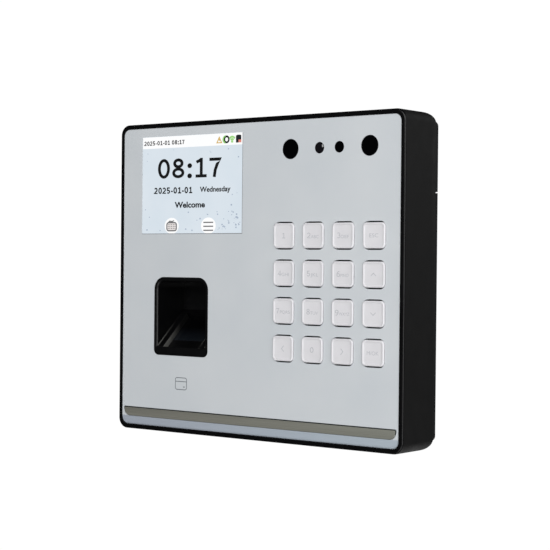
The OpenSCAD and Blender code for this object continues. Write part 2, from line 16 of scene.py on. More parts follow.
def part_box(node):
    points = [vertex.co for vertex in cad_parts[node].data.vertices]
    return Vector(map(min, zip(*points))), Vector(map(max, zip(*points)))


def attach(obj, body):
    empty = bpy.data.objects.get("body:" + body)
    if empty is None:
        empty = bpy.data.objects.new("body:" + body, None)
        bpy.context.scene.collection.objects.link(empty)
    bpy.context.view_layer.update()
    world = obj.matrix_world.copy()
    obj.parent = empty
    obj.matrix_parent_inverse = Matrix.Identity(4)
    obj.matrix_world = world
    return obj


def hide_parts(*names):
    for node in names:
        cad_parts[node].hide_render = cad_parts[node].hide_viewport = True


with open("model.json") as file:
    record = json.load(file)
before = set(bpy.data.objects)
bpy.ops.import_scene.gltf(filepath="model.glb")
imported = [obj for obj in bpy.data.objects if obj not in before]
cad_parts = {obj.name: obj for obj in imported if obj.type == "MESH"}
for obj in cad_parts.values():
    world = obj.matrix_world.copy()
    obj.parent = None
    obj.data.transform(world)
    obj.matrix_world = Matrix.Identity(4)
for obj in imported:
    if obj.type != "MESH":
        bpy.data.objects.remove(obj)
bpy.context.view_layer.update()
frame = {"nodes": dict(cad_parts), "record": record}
MM = 0.001
WAVE = math.pi / 10                     # distance between the ridges of a wave texture whose scale is 1


# ---------------------------------------------------------------- helpers for materials


def srgb(*levels):
    """A colour from 0 to 255 levels as the linear colour a shader takes."""
    parts = [v / 255 for v in levels]
    return [v / 12.92 if v <= 0.04045 else ((v + 0.055) / 1.055) ** 2.4 for v in parts] + [1]


class Surface:
    """A node material being put together. Its texture space is the piece's own, in millimetres."""

    def __init__(self, name, **constants):
        self.material = bpy.data.materials.new(name)
        self.material.use_nodes = True
        self.tree = self.material.node_tree
        self.shader = self.tree.nodes["Principled BSDF"]
        coordinates = self.tree.nodes.new("ShaderNodeTexCoord")
        self.space = self.stretched(coordinates.outputs["Object"], 1 / MM, 1 / MM, 1 / MM)
        self.normal = None
        for socket, value in constants.items():
            self.shader.inputs[socket.replace("_", " ")].default_value = value

    def link(self, output, node, socket):
        """Joins an output to an input of a node."""
        self.tree.links.new(output, node.inputs[socket])

    def feed(self, socket, output):
        """Lets a texture drive a socket of the shader."""
        self.link(output, self.shader, socket)
        return self

    def stretched(self, vector, x, y, z):
        """The vector with each axis multiplied by its own factor."""
        node = self.tree.nodes.new("ShaderNodeMapping")
        node.inputs["Scale"].default_value = (x, y, z)
        self.link(vector, node, "Vector")
        return node.outputs["Vector"]

    def noise(self, size, x=1, y=1, z=1, detail=3):
        """Cloudy noise with spots of that size, drawn out along an axis whose factor is under 1."""
        node = self.tree.nodes.new("ShaderNodeTexNoise")
        node.inputs["Scale"].default_value = 1 / size
        node.inputs["Detail"].default_value = detail
        self.link(self.stretched(self.space, x, y, z), node, "Vector")
        return node.outputs["Fac"]

    def cells(self, size, feature="F1"):
        """Distance to the nearest of a set of scattered points that lie about one size apart."""
        node = self.tree.nodes.new("ShaderNodeTexVoronoi")
        node.feature = feature
        node.inputs["Scale"].default_value = 1 / size
        self.link(self.space, node, "Vector")
        return node.outputs["Distance"]

    def waves(self, pitch, direction):
        """Even ridges across one direction, one pitch apart."""
        node = self.tree.nodes.new("ShaderNodeTexWave")
        node.bands_direction = direction
        node.inputs["Scale"].default_value = WAVE / pitch
        self.link(self.space, node, "Vector")
        return node.outputs["Fac"]

    def along(self, axis, start, end):
        """0 at one place along an axis and 1 at the other. Both places are in metres."""
        node = self.tree.nodes.new("ShaderNodeSeparateXYZ")
        self.link(self.space, node, "Vector")
        return self.spread(node.outputs[axis], 0, 1, start / MM, end / MM)

    def spread(self, value, low, high, start=0.3, end=0.7):
        """Turns a value that runs from start to end into one that runs from low to high."""
        node = self.tree.nodes.new("ShaderNodeMapRange")
        for socket, number in zip(("From Min", "From Max", "To Min", "To Max"), (start, end, low, high)):
            node.inputs[socket].default_value = number
        self.link(value, node, "Value")
        return node.outputs["Result"]

    def mixed(self, factor, first, second):
        """A colour between two colours, or between a texture's colour and another."""
        node = self.tree.nodes.new("ShaderNodeMix")
        node.data_type = "RGBA"
        self.link(factor, node, "Factor")
        for socket, colour in zip((6, 7), (first, second)):
            if isinstance(colour, bpy.types.NodeSocket):
                self.link(colour, node, socket)
            else:
                node.inputs[socket].default_value = colour
        return node.outputs[2]

    def tint(self, colour, spots, amount):
        """Base colour that drifts by that share round the given one, in spots of that size."""
        low = [v * (1 - amount) for v in colour[:3]] + [1]
        high = [v * (1 + amount) for v in colour[:3]] + [1]
        return self.feed("Base Color", self.mixed(self.spread(self.noise(spots), 0, 1), low, high))

    def gloss(self, low, high, spots):
        """Roughness that drifts between two values in spots of that size."""
        return self.feed("Roughness", self.spread(self.noise(spots), low, high))

    def relief(self, height, depth):
        """Adds a bump that is depth millimetres high to those already there."""
        node = self.tree.nodes.new("ShaderNodeBump")
        node.inputs["Distance"].default_value = depth * MM
        self.link(height, node, "Height")
        if self.normal:
            self.link(self.normal, node, "Normal")
        self.normal = node.outputs["Normal"]
        return self.feed("Normal", self.normal)


# ---------------------------------------------------------------- materials of the record's slots


def powder_coat():
    """Fine black powder coat: orange peel and a few duller spots."""
    coat = Surface("powder_coat", Specular_IOR_Level=0.35)
    coat.tint(srgb(22, 22, 24), 9, 0.15).gloss(0.42, 0.6, 4)
    return coat.relief(coat.noise(0.7), 0.03).material


def zinc_screw():
    """Bright zinc with turning marks."""
    zinc = Surface("zinc_screw", Metallic=1)
    zinc.tint(srgb(176, 178, 184), 1.5, 0.12).gloss(0.22, 0.42, 0.8)
    return zinc.relief(zinc.noise(0.25), 0.01).material


def housing_black():
    """Black ABS with a spark-eroded texture."""
    plastic = Surface("housing_black", Specular_IOR_Level=0.3)
    plastic.tint(srgb(20, 20, 20), 14, 0.08).gloss(0.44, 0.54, 6)
    plastic.relief(plastic.noise(0.32, detail=4), 0.02)
    return plastic.relief(plastic.cells(0.55), 0.008).material


def frame_black():
    """Black ABS with a polished front edge. The sides behind it are as dull as the housing. The front face
    also gets a darker base colour than the sides, as painted shade.
    """
    plastic = Surface("frame_black", Specular_IOR_Level=0.3)
    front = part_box("front_frame")[0].y
    side = plastic.along("Y", front + 0.7 * MM, front + 1.1 * MM)
    satin = plastic.spread(plastic.noise(7), 0.24, 0.31)
    dull = plastic.spread(plastic.noise(6), 0.44, 0.54)
    # painted shade: the front face takes a darker colour than the sides, on top of its real polish
    plastic.feed("Base Color", plastic.mixed(side, srgb(6, 6, 7), srgb(20, 20, 20)))
    plastic.feed("Roughness", plastic.mixed(side, satin, dull))
    return plastic.relief(plastic.noise(0.5), 0.004).material


def seal_silicone():
    """Matt grey silicone."""
    rubber = Surface("seal_silicone")
    rubber.tint(srgb(58, 58, 61), 5, 0.1).gloss(0.6, 0.75, 2)
    return rubber.relief(rubber.noise(0.4), 0.01).material


def panel_white():
    """Cool white moulding. Its foot, under the strip, is tinted darker and bluer as painted shade and
    reflection, and lighter towards the right as painted light.
    """
    plastic = Surface("panel_white", Specular_IOR_Level=0.25)
    low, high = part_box("front_panel")
    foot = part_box("decor_strip")[0].z
    clouds = plastic.mixed(plastic.spread(plastic.noise(35), 0, 1), srgb(203, 208, 212), srgb(209, 213, 216))
    # painted shade and reflection: under the strip the panel turns darker and bluer, lighter to the right
    # where the light falls
    shade = plastic.along("Z", foot + 0.3 * MM, foot - 0.3 * MM)
    edge = plastic.mixed(plastic.along("X", low.x, high.x), srgb(164, 171, 182), srgb(174, 185, 194))
    plastic.feed("Base Color", plastic.mixed(shade, clouds, edge)).gloss(0.3, 0.38, 12)
    return plastic.relief(plastic.noise(1.4), 0.003).material


def strip_metal():
    """Warm grey metal, brushed along its length and a touch cooler to the right."""
    metal = Surface("strip_metal", Metallic=0.15, Specular_IOR_Level=0.3)
    low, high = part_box("decor_strip")
    brushed = metal.noise(0.5, x=0.02, y=1, z=1, detail=6)
    tone = metal.mixed(metal.along("X", low.x, high.x), srgb(133, 132, 123), srgb(133, 134, 125))
    metal.feed("Base Color", metal.mixed(metal.spread(brushed, 0, 0.3), tone, srgb(98, 97, 90)))
    metal.feed("Roughness", metal.spread(brushed, 0.42, 0.58))
    return metal.relief(brushed, 0.01).material


def screen_glass():
    """Cover glass over a lit display: a pale blue ground under a fine grid of picture cells."""
    return lit("screen_glass", (213, 224, 233), (219, 228, 236))


def stamped_steel():
    """Nickel-plated pressing with faint rolling marks."""
    steel = Surface("stamped_steel", Metallic=1)
    steel.tint(srgb(186, 188, 192), 6, 0.08).gloss(0.26, 0.42, 3)
    return steel.relief(steel.noise(0.4, x=0.05), 0.006).material


def ribbon_film():
    """Amber polyimide film with copper tracks showing through."""
    film = Surface("ribbon_film", Coat_Weight=0.4)
    tracks = film.spread(film.waves(1, "X"), 0, 1, 0.45, 0.55)
    film.feed("Base Color", film.mixed(tracks, srgb(186, 120, 42), srgb(142, 78, 26))).gloss(0.25, 0.4, 3)
    return film.relief(tracks, 0.02).material


def mat_silicone():
    """Milky silicone, slightly see-through at thin walls."""
    rubber = Surface("mat_silicone", Subsurface_Weight=0.15, Subsurface_Scale=0.002)
    rubber.tint(srgb(216, 216, 212), 8, 0.05).gloss(0.5, 0.65, 3)
    return rubber.relief(rubber.noise(0.6), 0.01).material


def solder_mask(name, ground, copper):
    """Solder mask over tracks: cell borders give the run of the copper."""
    board = Surface(name, Coat_Weight=0.3)
    tracks = board.spread(board.cells(3.2, "DISTANCE_TO_EDGE"), 1, 0, 0.05, 0.09)
    board.feed("Base Color", board.mixed(tracks, ground, copper)).gloss(0.3, 0.42, 4)
    return board.relief(tracks, 0.03).material


def board_green():
    """Green circuit board."""
    return solder_mask("board_green", srgb(24, 92, 58), srgb(44, 124, 80))


def antenna_blue():
    """Blue board of the card antenna."""
    return solder_mask("antenna_blue", srgb(34, 62, 112), srgb(62, 96, 150))


def shroud_black():
    """Polished black ABS of the finger well."""
    plastic = Surface("shroud_black", Specular_IOR_Level=0.4)
    plastic.tint(srgb(5, 5, 6), 6, 0.12).gloss(0.28, 0.36, 4)
    return plastic.relief(plastic.noise(0.9), 0.003).material


def sensor_glass():
    """Dark coated glass with finger smears, and painted light at its front end that fades to black deeper in.
    """
    glass = Surface("sensor_glass", Coat_Weight=0.5, Coat_Roughness=0.04, Specular_IOR_Level=0.5)
    low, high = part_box("finger_glass")
    # painted light: the front half of the glass fades from the smeared tone to near black
    painted_fade = glass.along("Y", low.y, low.y + 0.5 * (high.y - low.y))
    smear = glass.mixed(glass.spread(glass.noise(7), 0, 1), srgb(17, 21, 27), srgb(25, 29, 33))
    glass.feed("Base Color", glass.mixed(painted_fade, smear, srgb(3, 3, 4))).gloss(0.06, 0.2, 3)
    return glass.relief(glass.noise(2.5), 0.002).material


def optics_black():
    """Black engineering plastic with short glass fibres."""
    plastic = Surface("optics_black", Specular_IOR_Level=0.4)
    plastic.tint(srgb(26, 26, 28), 2, 0.2).gloss(0.35, 0.5, 1)
    return plastic.relief(plastic.noise(0.3, x=0.3), 0.01).material


def window_black():
    """Black polycarbonate that only infrared passes, polished."""
    plastic = Surface("window_black", Specular_IOR_Level=0.25)
    plastic.tint(srgb(1, 1, 2), 3, 0.2).gloss(0.06, 0.11, 2)
    return plastic.relief(plastic.noise(1.2), 0.001).material


def led_lens():
    """Clear lens over a yellow phosphor."""
    lens = Surface("led_lens", Transmission_Weight=0.4, Coat_Weight=0.5)
    lens.tint(srgb(234, 222, 150), 1, 0.1).gloss(0.1, 0.2, 0.8)
    return lens.relief(lens.noise(0.5), 0.003).material


def header_nylon():
    """Natural nylon."""
    nylon = Surface("header_nylon")
    nylon.tint(srgb(226, 222, 208), 3, 0.05).gloss(0.45, 0.6, 1.5)
    return nylon.relief(nylon.noise(0.4), 0.01).material


def relay_blue():
    """Blue moulded case."""
    case = Surface("relay_blue")
    case.tint(srgb(38, 88, 166), 4, 0.08).gloss(0.3, 0.42, 2)
    return case.relief(case.noise(0.6), 0.006).material


def plunger_red():
    """Red acetal."""
    acetal = Surface("plunger_red")
    acetal.tint(srgb(196, 50, 42), 2, 0.08).gloss(0.3, 0.45, 1)
    return acetal.relief(acetal.noise(0.3), 0.005).material


def key_white():
    """Satin white ABS."""
    plastic = Surface("key_white", Specular_IOR_Level=0.28)
    plastic.tint(srgb(224, 223, 226), 5, 0.02).gloss(0.38, 0.48, 2.5)
    return plastic.relief(plastic.noise(0.7), 0.002).material


# ---------------------------------------------------------------- materials of prints and pictures


def lit(name, first, second):
    """A lit patch of the display, faintly uneven, with the display's grid of cells and a glossy cover."""
    patch = Surface(name, Roughness=0.2, Emission_Strength=1, Specular_IOR_Level=0.3)
    patch.shader.inputs["Base Color"].default_value = (0.01, 0.01, 0.01, 1)
    ground = patch.mixed(patch.spread(patch.noise(16), 0, 1), srgb(*first), srgb(*second))
    dark = [v * 0.95 for v in srgb(*first)[:3]] + [1]
    grid = patch.spread(patch.waves(0.2, "X"), 0.25, 0, 0, 0.3)
    patch.feed("Emission Color", patch.mixed(grid, ground, dark))
    return patch.relief(patch.noise(5), 0.001).material


def print_ink(name, colour):
    """Screen-printed ink, thinner in places."""
    ink = Surface(name, Specular_IOR_Level=0.3)
    ink.tint(colour, 0.6, 0.06).gloss(0.4, 0.55, 0.5)
    return ink.relief(ink.noise(0.15), 0.002).material


def carrier_black():
    """Dull charcoal shot of the two-shot keys."""
    plastic = Surface("carrier_black", Specular_IOR_Level=0.2)
    plastic.tint(srgb(58, 58, 60), 2, 0.1).gloss(0.55, 0.7, 1)
    return plastic.relief(plastic.noise(0.3), 0.006).material


def strip_bevel_shade():
    """Smoother cut edge of the metal strip, coloured darker as painted shade where it runs along the strip's
    top and upper ends.
    """
    metal = Surface("strip_bevel_shade", Metallic=0.6)
    metal.tint(srgb(62, 66, 64), 4, 0.1).gloss(0.2, 0.3, 2)
    return metal.relief(metal.noise(0.4, x=0.1), 0.004).material


def lens_glass():
    """Coated camera lens, almost black with a violet cast."""
    glass = Surface("lens_glass", Coat_Weight=1, Coat_Roughness=0.02, Specular_IOR_Level=0.7)
    glass.tint(srgb(12, 9, 14), 1.5, 0.3).gloss(0.05, 0.09, 1)
    return glass.relief(glass.noise(1), 0.0005).material


def seal_and_highlight_grey():
    """Grey seal beside the sensing glass, with painted shade that makes it blacker the deeper it lies; the
    beads along the well's walls use it as a painted highlight.
    """
    rubber = Surface("seal_and_highlight_grey", Specular_IOR_Level=0.4)
    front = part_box("finger_shroud")[0].y
    clouds = rubber.mixed(rubber.spread(rubber.noise(2), 0, 1), srgb(92, 92, 90), srgb(104, 104, 100))
    # painted shade: the grey fades to near black deeper into the well
    painted_fade = rubber.along("Y", front + 2 * MM, front + 12.5 * MM)
    rubber.feed("Base Color", rubber.mixed(painted_fade, clouds, srgb(4, 4, 4))).gloss(0.45, 0.6, 1)
    return rubber.relief(rubber.noise(0.3), 0.006).material


SLOTS = {
    f.__name__: f
    for f in (
        powder_coat, zinc_screw, housing_black, frame_black, seal_silicone, panel_white, strip_metal,
        screen_glass, stamped_steel, ribbon_film, mat_silicone, board_green, shroud_black, sensor_glass,
        optics_black, window_black, led_lens, header_nylon, relay_blue, antenna_blue, plunger_red, key_white,
    )
}


# ---------------------------------------------------------------- the CAD nodes


JOIN = 0.001 * MM                       # corners nearer to each other than this are one
KEPT_EDGE = math.radians(30)            # an edge of a CAD node that turns more than this stays sharp
BEVELLED_EDGE = math.radians(40)        # where a node is bevelled, an edge that turns more than this is eased
BEVELS = {"finger_glass": 0.15}         # width of the eased edges of a node, in mm


def smoothing():
    """Node group that joins split corners and keeps only the edges with a wide turn sharp."""
    group = bpy.data.node_groups.new("smooth_by_angle", "GeometryNodeTree")
    group.interface.new_socket("Geometry", in_out="INPUT", socket_type="NodeSocketGeometry")
    group.interface.new_socket("Geometry", in_out="OUTPUT", socket_type="NodeSocketGeometry")
    kinds = (
        "NodeGroupInput", "NodeGroupOutput", "GeometryNodeMergeByDistance", "GeometryNodeSetShadeSmooth",
        "GeometryNodeSetShadeSmooth", "GeometryNodeInputMeshEdgeAngle", "FunctionNodeCompare",
    )
    start, end, merge, faces, edges, angle, below = (group.nodes.new(kind) for kind in kinds)
    merge.inputs["Distance"].default_value = JOIN
    edges.domain = "EDGE"
    below.operation = "LESS_THAN"
    below.inputs[1].default_value = KEPT_EDGE
    for output, socket in (
        (start.outputs[0], merge.inputs["Geometry"]),
        (merge.outputs[0], faces.inputs["Geometry"]),
        (faces.outputs[0], edges.inputs["Geometry"]),
        (angle.outputs["Unsigned Angle"], below.inputs[0]),
        (below.outputs[0], edges.inputs["Shade Smooth"]),
        (edges.outputs[0], end.inputs[0]),
    ):
        group.links.new(output, socket)
    return group


def refine(node, group, bevel):
    """Smooth shading on a CAD node, whose sharp edges are eased if a bevel's width in mm isn't 0."""
    piece = frame["nodes"][node]
    normals = piece.data.attributes.get("custom_normal")
    if normals:
        piece.data.attributes.remove(normals)
    if bevel:
        piece.modifiers.new("weld", "WELD").merge_threshold = JOIN
        eased = piece.modifiers.new("bevel", "BEVEL")
        eased.width = bevel * MM
        eased.segments = 2
        eased.angle_limit = BEVELLED_EDGE
        eased.use_clamp_overlap = False
    piece.modifiers.new("smooth", "NODES").node_group = group
    weighted = piece.modifiers.new("normals", "WEIGHTED_NORMAL")
    weighted.keep_sharp = True


def dress_nodes():
    """Gives every CAD node its slot's material and smooth shading."""
    made = {slot: make() for slot, make in SLOTS.items()}
    group = smoothing()
    for part in frame["record"]["subparts"]:
        node = part["node"]
        frame["nodes"][node].data.materials.clear()
        frame["nodes"][node].data.materials.append(made[part["material_slot"]])
        refine(node, group, BEVELS.get(node, 0))
    return made


# ---------------------------------------------------------------- building meshes


PIECE_EDGE = math.radians(32)           # an edge of a new piece that turns more than this stays sharp
CAPITAL = 0.7                           # height of the built-in font's capitals at size 1
ADVANCES = {":": 0.42, "-": 0.47, " ": 0.38}
DIGIT_ADVANCE = 0.79                    # from one drawn digit to the next, for a height of 1
DIGIT_GAP = 0.12                        # how much of that is empty
DOT = 0.8                               # radius of a drawn dot, as a share of the stroke's width


def add_piece(name, mesh, body, slot, *materials):
    """A new visible piece from a bmesh that is already in the row frame."""
    data = bpy.data.meshes.new(name)
    bmesh.ops.recalc_face_normals(mesh, faces=mesh.faces)
    mesh.to_mesh(data)
    mesh.free()
    for material in materials:
        data.materials.append(material)
    piece = bpy.data.objects.new(name, data)
    bpy.context.scene.collection.objects.link(piece)
    data.shade_smooth()
    data.set_sharp_from_angle(angle=PIECE_EDGE)
    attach(piece, body)
    return piece


def rounded(w, h, top, low=None, steps=8):
    """Points round a rectangle whose upper and lower corners have those radii, in mm about its middle."""
    low = top if low is None else low
    corners = ((1, 1, top, 0), (-1, 1, top, 90), (-1, -1, low, 180), (1, -1, low, 270))
    return [
        (
            sx * (w / 2 - r) + r * math.cos(math.radians(start + 90 * i / steps)),
            sz * (h / 2 - r) + r * math.sin(math.radians(start + 90 * i / steps)),
        )
        for sx, sz, r, start in corners
        for i in range(steps + 1)
    ]


def loft(rings, centre, front):
    """A closed skin through rings of points. Each ring is (points in mm, depth in mm behind front)."""
    mesh = bmesh.new()
    rows = [
        [mesh.verts.new((centre.x + x * MM, front + depth * MM, centre.z + z * MM)) for x, z in points]
        for points, depth in rings
    ]
    bands = []
    for first, second in zip(rows, rows[1:]):
        count = len(first)
        bands.append([
            mesh.faces.new((first[i], first[(i + 1) % count], second[(i + 1) % count], second[i]))
            for i in range(count)
        ])
    mesh.faces.new(rows[0])
    mesh.faces.new(rows[-1])
    return mesh, bands


class Drawing:
    """Flat shapes in millimetres, gathered into one thin piece. Each lies a hair above the one before."""

    HAIR = 0.0004

    def __init__(self, thickness=0.03):
        self.mesh = bmesh.new()
        self.thickness = thickness

    def raised(self, loops, faces):
        """Adds a shape from its points and faces, given a front and a back."""
        self.thickness += self.HAIR
        front = [self.mesh.verts.new((x, z, self.thickness)) for x, z in loops]
        back = [self.mesh.verts.new((x, z, 0)) for x, z in loops]
        used = {}
        for face in faces:
            self.mesh.faces.new([front[i] for i in face])
            self.mesh.faces.new([back[i] for i in reversed(face)])
            for a, b in zip(face, face[1:] + face[:1]):
                key = (min(a, b), max(a, b))
                used[key] = None if key in used else (a, b)
        for a, b in filter(None, used.values()):
            self.mesh.faces.new((front[b], front[a], back[a], back[b]))

    def area(self, points):
        """A filled outline."""
        self.raised(points, [list(range(len(points)))])

    def stroke(self, points, width, closed=False):
        """A line of that width through the points. A sharp corner reaches out to twice the width at most."""
        ends = len(points)
        sides = []
        for i, (x, z) in enumerate(points):
            before = points[i - 1] if closed or i > 0 else points[i]
            after = points[(i + 1) % ends] if closed or i < ends - 1 else points[i]
            run = Vector((after[0] - before[0], after[1] - before[1])).normalized()
            lean = 1.0
            if closed or 0 < i < ends - 1:
                arrive = Vector((x - before[0], z - before[1])).normalized()
                lean = max(0.5, abs(arrive.dot(run)))
            reach = width / 2 / lean
            sides.append((x - run.y * reach, z + run.x * reach))
            sides.append((x + run.y * reach, z - run.x * reach))
        count = len(sides)
        pairs = range(ends if closed else ends - 1)
        self.raised(sides, [[2 * i, 2 * i + 1, (2 * i + 3) % count, (2 * i + 2) % count] for i in pairs])

    def words(self, text, left, base, width, height, thicker=0):
        """A line of the built-in font, fitted to a width and a capital height."""
        curve = bpy.data.curves.new("words", "FONT")
        curve.body = text
        curve.resolution_u = 4
        curve.offset = thicker
        holder = bpy.data.objects.new("words", curve)
        bpy.context.scene.collection.objects.link(holder)
        flat = holder.evaluated_get(bpy.context.evaluated_depsgraph_get()).to_mesh()
        xs = [v.co.x for v in flat.vertices]
        across = width / (max(xs) - min(xs))
        up = height / CAPITAL
        points = [(left + (v.co.x - min(xs)) * across, base + v.co.y * up) for v in flat.vertices]
        faces = [list(p.vertices) for p in flat.polygons]
        self.raised(points, faces)
        holder.to_mesh_clear()
        bpy.data.objects.remove(holder)

    def digits(self, text, left, base, width, height, weight):
        """Digits, colons and dashes drawn with strokes and fitted to a width and a height."""
        advances = [ADVANCES.get(c, DIGIT_ADVANCE) for c in text]
        total = sum(advances) - DIGIT_GAP
        place = left
        for c, advance in zip(text, advances):
            for points, closed in glyph(c, weight):
                scaled = [(place + x * width / total, base + z * height) for x, z in points]
                self.stroke_or_dot(scaled, closed, weight * height, width / total / height)
            place += advance * width / total

    def stroke_or_dot(self, points, closed, width, stretch):
        """Draws a stroke that is wider across than up by the stretch, or a dot if it has one point."""
        if len(points) == 1:
            x, z = points[0]
            r = width * DOT
            self.area(ellipse(x, z, r * stretch, r, 20))
        else:
            squeezed = [(x / stretch, z) for x, z in points]
            start = len(self.mesh.verts)
            self.stroke(squeezed, width, closed)
            self.mesh.verts.ensure_lookup_table()
            for v in self.mesh.verts[start:]:
                v.co.x *= stretch

    def piece(self, name, origin, body, slot, material):
        """Stands the drawing up at a point of the row frame, its face to the front."""
        upright = Matrix.Translation(origin) @ Matrix.Rotation(math.pi / 2, 4, "X") @ Matrix.Scale(MM, 4)
        self.mesh.transform(upright)
        return add_piece(name, self.mesh, body, slot, material)


def circle(count, start=0, end=360):
    """Cosine and sine at even steps of an arc. A whole turn leaves out its last point."""
    last = count if end - start == 360 else count - 1
    angles = [math.radians(start + (end - start) * i / last) for i in range(count)]
    return [(math.cos(a), math.sin(a)) for a in angles]


def arc(x, z, rx, rz, start, end, count=14):
    """Points along part of an ellipse."""
    return [(x + rx * c, z + rz * s) for c, s in circle(count, start, end)]


def ellipse(x, z, rx, rz, count):
    """Points round a whole ellipse."""
    return arc(x, z, rx, rz, 0, 360, count)


def glyph(character, weight):
    """Centre lines of a digit or mark, as (points, closed), on a height of 1 and a width of about 0.67."""
    edge = weight / 2
    top, mid = 1 - edge, 0.33
    side = 0.33 - edge
    bowl = ellipse(mid, 0.31, side, 0.31 - edge, 28)
    hook = [(0.63 - edge * 2, top - 0.05)] + arc(mid + 0.08, 0.36, side + 0.08, top - 0.36, 75, 180, 12)
    belly = arc(0.29, 0.32, 0.33 - edge, 0.32 - edge, 125, -145)
    closed = {
        "0": [ellipse(mid, 0.5, side, 0.5 - edge, 32)],
        "6": [bowl],
        "8": [ellipse(mid, 0.75, side - 0.05, 0.25 - edge, 26), ellipse(mid, 0.27, side, 0.27 - edge, 28)],
        "9": [[(2 * mid - x, 1 - z) for x, z in bowl]],
    }
    opened = {
        "1": [[(0.36, 0.98), (0.36, 0)], [(0.1, top - 0.15), (0.38, top - 0.02)],
              [(0.06, edge), (0.65, edge)]],
        "2": [arc(mid - 0.02, top - 0.26, side - 0.02, 0.26, 160, -30) + [(0.05, edge), (0.63, edge)]],
        "3": [arc(mid - 0.02, 0.74, side - 0.04, 0.26 - edge, 150, -80),
              arc(mid - 0.02, 0.28, side - 0.01, 0.28 - edge, 85, -150)],
        "4": [[(0.46, 0), (0.46, top), (0.04, 0.27), (0.64, 0.27)]],
        "5": [[(0.56, top), (0.14, top), (0.11, 0.53)] + belly],
        "6": [hook],
        "7": [[(0, top - 0.04), (0.61, top - 0.04), (0.42, 0.66), (0.31, 0.36), (0.26, 0)]],
        "9": [[(2 * mid - x, 1 - z) for x, z in hook]],
        ":": [[(0.16, 0.1)], [(0.16, 0.61)]],
        "-": [[(0.01, 0.36), (0.35, 0.36)]],
    }
    return [(p, True) for p in closed.get(character, [])] + [(p, False) for p in opened.get(character, [])]


# ---------------------------------------------------------------- keys

# Row by row: the key's node, its large mark, and the small letters beside it
KEYS = (
    ("key_1", "1", ""), ("key_2", "2", "ABC"), ("key_3", "3", "DEF"), ("key_esc", "ESC", ""),
    ("key_4", "4", "GHI"), ("key_5", "5", "JKL"), ("key_6", "6", "MNO"), ("key_up", "up", ""),
    ("key_7", "7", "PQRS"), ("key_8", "8", "TUV"), ("key_9", "9", "WXYZ"), ("key_down", "down", ""),
    ("key_left", "left", ""), ("key_0", "0", ""), ("key_right", "right", ""), ("key_ok", "M/OK", ""),
)
FLANGE = 1.4                            # how far a key's flange reaches past its cap, in mm
FLANGE_CORNER = 1.6
FLANGE_FRONT = 2.7                      # the flange's front and back, in mm behind the cap's rim
FLANGE_BACK = 3.5
CAP_CORNER = 1.9
SHOULDER = 0.5                          # radius of the round edge of a cap, in mm
DISH_RUN = 0.75                         # width of the slope from the rim into the dish, in mm
DISH = 0.25                             # depth of the dish in a key's face, in mm


def key_cap(node, white, black):
    """A key lofted from its flange up the side, over a round shoulder and down into a shallow dish."""
    low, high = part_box(node)
    w = (high.x - low.x) / MM - 2 * FLANGE
    h = (high.z - low.z) / MM - 2 * FLANGE
    flange = rounded(w + 2 * FLANGE, h + 2 * FLANGE, FLANGE_CORNER)
    rings = [(flange, FLANGE_BACK), (flange, FLANGE_FRONT), (rounded(w, h, CAP_CORNER), FLANGE_FRONT)]
    steps = 6
    for i in range(steps + 1):
        turn = math.pi / 2 * i / steps
        inset = SHOULDER * (1 - math.cos(turn))
        ring = rounded(w - 2 * inset, h - 2 * inset, CAP_CORNER - inset)
        rings.append((ring, SHOULDER * (1 - math.sin(turn))))
    for i in range(1, steps + 1):
        inset = SHOULDER + DISH_RUN * i / steps
        ring = rounded(w - 2 * inset, h - 2 * inset, CAP_CORNER - 0.6 * inset)
        rings.append((ring, DISH * (1 - math.cos(math.pi * i / steps)) / 2))
    mesh, bands = loft(rings, (low + high) / 2, low.y)
    for band in bands[:2]:
        for face in band:
            face.material_index = 1
    piece = add_piece(f"{node}_cap", mesh, node, "key_white", white, black)
    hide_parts(node)


ARROWS = {"up": 0, "left": 90, "down": 180, "right": 270}
ARROW_HEAD = ((-1.35, -0.6), (0, 0.65), (1.35, -0.6))
ARROW_LINE = 0.32
MARK_FOOT = -1.2                        # foot of the digits and small letters against the key's middle
DIGIT_WIDE = 1.95
DIGIT_HIGH = 2.5
LETTER_WIDE = 1.42                      # width of each small letter, in mm
LETTER_HIGH = 1.45
LETTER_GAP = 0.2                        # between the digit and its letters
WORD_WIDE = 1.55                        # width of each letter of a key that is named by a word
WORD_HIGH = 1.7


def key_mark(node, mark, letters, ink):
    """The pale print on a key: a digit with letters, a word, or an arrow head."""
    low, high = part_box(node)
    print_on = Drawing(0.01)
    if mark in ARROWS:
        turn = Matrix.Rotation(math.radians(ARROWS[mark]), 2)
        print_on.stroke([tuple(turn @ Vector(p)) for p in ARROW_HEAD], ARROW_LINE)
    elif mark.isdigit():
        letters_wide = LETTER_WIDE * len(letters)
        left = -(DIGIT_WIDE + letters_wide + LETTER_GAP * bool(letters)) / 2
        print_on.digits(mark, left, MARK_FOOT, DIGIT_WIDE, DIGIT_HIGH, 0.12)
        if letters:
            print_on.words(letters, left + DIGIT_WIDE + LETTER_GAP, MARK_FOOT, letters_wide, LETTER_HIGH)
    else:
        wide = WORD_WIDE * len(mark)
        print_on.words(mark, -wide / 2, -WORD_HIGH / 2, wide, WORD_HIGH)
    face = Vector(((low.x + high.x) / 2, low.y + DISH * MM, (low.z + high.z) / 2))
    print_on.piece(f"{node}_mark", face, node, "key_white", ink)


def keypad(made):
    """All sixteen keys with their marks."""
    black = carrier_black()
    ink = print_ink("key_ink", srgb(190, 191, 196))
    for node, mark, letters in KEYS:
        key_cap(node, made["key_white"], black)
        key_mark(node, mark, letters, ink)


# ---------------------------------------------------------------- the screen's picture


